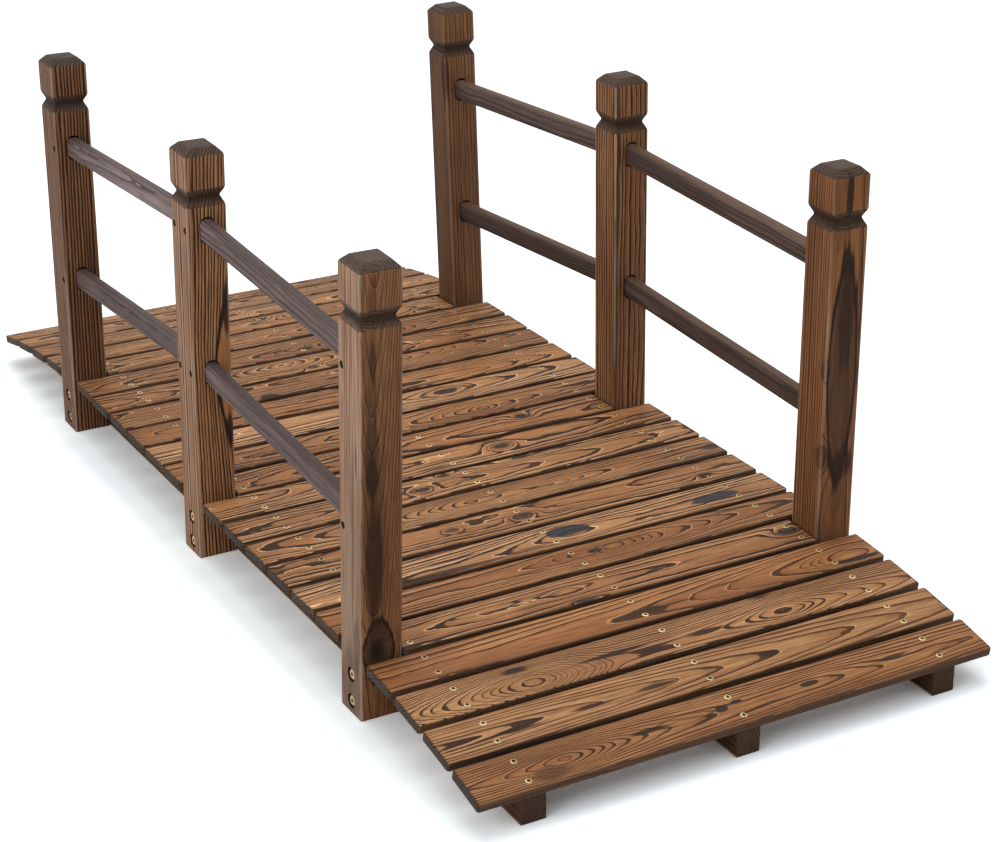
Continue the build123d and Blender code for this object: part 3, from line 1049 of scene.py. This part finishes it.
# painted light and shade: the right rails are darkened as shaded copies of the left ones, and each side
# paints its rail tops its own colour
railLightAndShade = {
    "left": {"tone": (1.0, 1.0), "cap": (0.062, 0.04, 0.034)},
    "right": {"tone": (0.49, 0.86), "cap": (0.16, 0.088, 0.05)},
}
for node in railNodes:
    lay, size = railLays[node]
    piece = addBlock(node.replace("_rail", "Rail").replace("_", ""), size)
    roundAlong(piece, railShape["round"], 6)
    putAt(piece, lay)
    look = dict(railLook, heart=(0, 0.03, dice.uniform(-0.03, 0.03)), seed=draw("seed"))
    look.update(railLightAndShade[node.split("_")[0]])
    shade, redder = look["tone"]
    toned(look, shade * (railShape["lowerShade"] if "lower" in node else 1.0), redder)
    dress(piece, makeWood("railWood_" + node[:-5].replace("_", ""), lay, size, look))
    finishPiece(piece, "rail_wood", node)
print("rails made:", len(railNodes))


# Stringers keep their own shape

# the stringers are toned very dark: painted shade where they show under the deck, partly their own dark
# colour
stringerLook = {**postLook, "heart": (0, 0.2, 0.06), "ringWidth": 0.0035, "wander": 0.006,
                "lateStrength": 0.6, "endReach": 0.001, "endStrength": 0.35, "tone": (0.34, 1.0)}
for node in stringerNodes:
    lay, size = layOf(node, (0, 1, 0), (0, 0, 1))
    look = dict(stringerLook, seed=draw("seed"))
    toned(look, *look["tone"])
    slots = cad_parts[node].data.materials
    slots.clear()
    slots.append(makeWood("stringerWood_" + node.split("_")[0], lay, size, look))


# Screws and bolts

screw = {"width": 0.0081, "dome": 0.0005, "recess": 0.0046, "recessDepth": 0.001, "thick": 0.0012,
         "rimShare": 0.12, "recessRim": 0.0002, "recessTaper": 0.55,
         "deckSink": 0.0012, "railSink": 0.0035}
bolt = {"width": 0.014, "dome": 0.0016, "recess": 0.0052, "recessDepth": 0.003, "thick": 0.0024,
        "rimShare": 0.12, "recessRim": 0.0002, "recessTaper": 0.55, "sink": 0.004}
# the recess colour is painted shade for the hollow in each screw and bolt head
metals = {"pale": (0.8, 0.62, 0.3), "recess": (0.15, 0.095, 0.045), "bolt": (0.88, 0.62, 0.36)}
# dull patches on metal: how fine the two noises are, their shares, and how dark and rough patches are
mottling = {"fine": (420, 420, 420), "fineShare": 0.4, "coarse": (17, 17, 17), "coarseShare": 0.6,
            "fade": (0.35, 0.7), "shade": 0.45, "rougher": 0.3}


def makeMetal(name, colour, roughness, metallic=0.8):
    material, tree, shader = newMaterial(name)
    place = tree.nodes.new("ShaderNodeTexCoord").outputs["Object"]
    fine = times(tree, noise(tree, place, mottling["fine"], 2.0), mottling["fineShare"])
    coarse = noise(tree, place, mottling["coarse"])
    patches = scaled(tree, coarse, mottling["coarseShare"], fine)
    dull = [channel * mottling["shade"] for channel in colour]
    mottled = mixColour(tree, fade(tree, patches, *mottling["fade"]), colour, dull)
    tree.links.new(mottled, shader.inputs["Base Color"])
    rough = scaled(tree, patches, mottling["rougher"], roughness)
    tree.links.new(rough, shader.inputs["Roughness"])
    shader.inputs["Metallic"].default_value = metallic
    return material


# painted shade for the recesses of the screw and bolt heads
recessShadeMetal = makeMetal("recessBrown", metals["recess"], 0.6)


def shapeScrew(name, metal, given):
    # a round head with a softly rounded rim and a tapered recess in its middle
    width, recess = given["width"], given["recess"]
    rim = width * given["rimShare"]
    deselectAll()
    bpy.ops.mesh.primitive_cylinder_add(vertices=16, radius=width / 2, depth=given["thick"])
    made = bpy.context.object
    made.name = name
    startEdit(made)
    pick("FACE", lambda face: face.normal.z > 0.9)
    bpy.ops.mesh.inset(thickness=rim)
    bpy.ops.transform.translate(value=(0, 0, given["dome"]))
    bpy.ops.mesh.inset(thickness=width / 2 - rim - recess / 2)
    bpy.ops.mesh.inset(thickness=given["recessRim"])
    bpy.ops.mesh.extrude_region_move(TRANSFORM_OT_translate={"value": (0, 0, -given["recessDepth"])})
    bpy.ops.transform.resize(value=(given["recessTaper"], given["recessTaper"], 1))
    endEdit()
    made.data.materials.append(metal)
    made.data.materials.append(recessShadeMetal)
    # the faces inside the recess take the painted shade material
    for face in made.data.polygons:
        if face.center.to_2d().length < recess / 2 - 0.0001 and face.center.z > 0:
            face.material_index = 1
    return made


def setHeads(name, head, places, sink):
    # a copy at each place, sunk from its surface, all joined into one piece
    copies = []
    for place in places:
        twin = copyPiece(head, "head")
        twin.matrix_world = place @ Matrix.Translation((0, 0, -sink))
        copies.append(twin)
    joined = joinAll(copies, name)
    bpy.ops.object.transform_apply()
    smooth(joined)
    return joined


deckPlaces = []
for node in boardNodes:
    lay, size = boardLays[node]
    for line, sideways in screwSpots:
        spin = Matrix.Rotation(dice.uniform(0, pi), 4, "Z")
        deckPlaces.append(lay @ Matrix.Translation((line, sideways, size.z / 2)) @ spin)
screwHead = shapeScrew("screwHead", makeMetal("screwSteel", metals["pale"], 0.36, 0.5), screw)
for name, places in (("deck", deckPlaces), ("rail", screwPlaces)):
    screws = setHeads(name + "Screws", screwHead, places, screw[name + "Sink"])
    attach(screws, "root")
boltHead = shapeScrew("boltHead", makeMetal("boltSteel", metals["bolt"], 0.35, 0.3), bolt)
finishPiece(setHeads("footBolts", boltHead, boltPlaces, bolt["sink"]), "bolt_steel", "foot_bolts")
removeAll(screwHead, boltHead, *blanks.values())
print("screws and bolts made")


# Floor, light and camera

studio = {
    "floorSeen": (1.37, 1.46, 1.5),      # to the eye the bare floor is plain white
    "floorLit": (0.8, 0.8, 0.8),       # and to the object it is a pale one
    "skySeen": (1, 1, 1),
    "skyLit": (0.55, 0.55, 0.55),
    "lampAim": (0, 0, 0.2),
}
lamps = {
    "overhead": {"at": (-0.5, 0.35, 3.3), "size": 2.8, "energy": 52},
    "leftSide": {"at": (1.2, -3.3, 1.7), "size": 2.4, "energy": 40},
}
camera = {"at": (2.50815, -1.27538, 1.31457), "azimuth": 60.97, "elevation": 23.19, "roll": -0.3,
          "lens": 82.8}

deselectAll()
bpy.ops.mesh.primitive_plane_add(size=40)
floor = bpy.context.object
floor.name = "floor"
floorMaterial, floorTree, floorShader = newMaterial("floorWhite")
floorTree.nodes.remove(floorShader)
floorPaint = floorTree.nodes.new("ShaderNodeBsdfDiffuse")
floorEye = floorTree.nodes.new("ShaderNodeLightPath").outputs["Is Camera Ray"]
floorColour = mixColour(floorTree, floorEye, studio["floorLit"], studio["floorSeen"])
floorTree.links.new(floorColour, floorPaint.inputs["Color"])
floorTree.links.new(floorPaint.outputs[0], floorTree.nodes["Material Output"].inputs["Surface"])
floor.data.materials.append(floorMaterial)

world = bpy.data.worlds.new("studio")
bpy.context.scene.world = world
world.use_nodes = True
worldTree = world.node_tree
path = worldTree.nodes.new("ShaderNodeLightPath")
seen = calc(worldTree, "MAXIMUM", path.outputs["Is Camera Ray"], path.outputs["Is Glossy Ray"])
seen = calc(worldTree, "MAXIMUM", seen, path.outputs["Is Transmission Ray"])
skyColour = mixColour(worldTree, seen, studio["skyLit"], studio["skySeen"])
worldTree.links.new(skyColour, worldTree.nodes["Background"].inputs["Color"])

for lampName, lamp in lamps.items():
    deselectAll()
    bpy.ops.object.light_add(type="AREA", location=lamp["at"])
    light = bpy.context.object
    light.name = lampName
    light.data.size = lamp["size"]
    light.data.energy = lamp["energy"]
    light.rotation_euler = (Vector(studio["lampAim"]) - light.location).to_track_quat("-Z", "Y").to_euler()

deselectAll()
bpy.ops.object.camera_add(location=camera["at"])
eye = bpy.context.object
turn, lift, tilt = radians(camera["azimuth"]), radians(camera["elevation"]), radians(camera["roll"])
backWay = Vector((sin(turn) * cos(lift), -cos(turn) * cos(lift), sin(lift)))
rightWay = Vector((cos(turn), sin(turn), 0))
upWay = backWay.cross(rightWay)
rightTilted = rightWay * cos(tilt) + upWay * sin(tilt)
upTilted = upWay * cos(tilt) - rightWay * sin(tilt)
eye.rotation_euler = Matrix((rightTilted, upTilted, backWay)).transposed().to_euler()
eye.data.lens = camera["lens"]
eye.data.sensor_width = 36
bpy.context.scene.camera = eye
bpy.context.scene.view_settings.view_transform = "Standard"
print("floor, light and camera set")
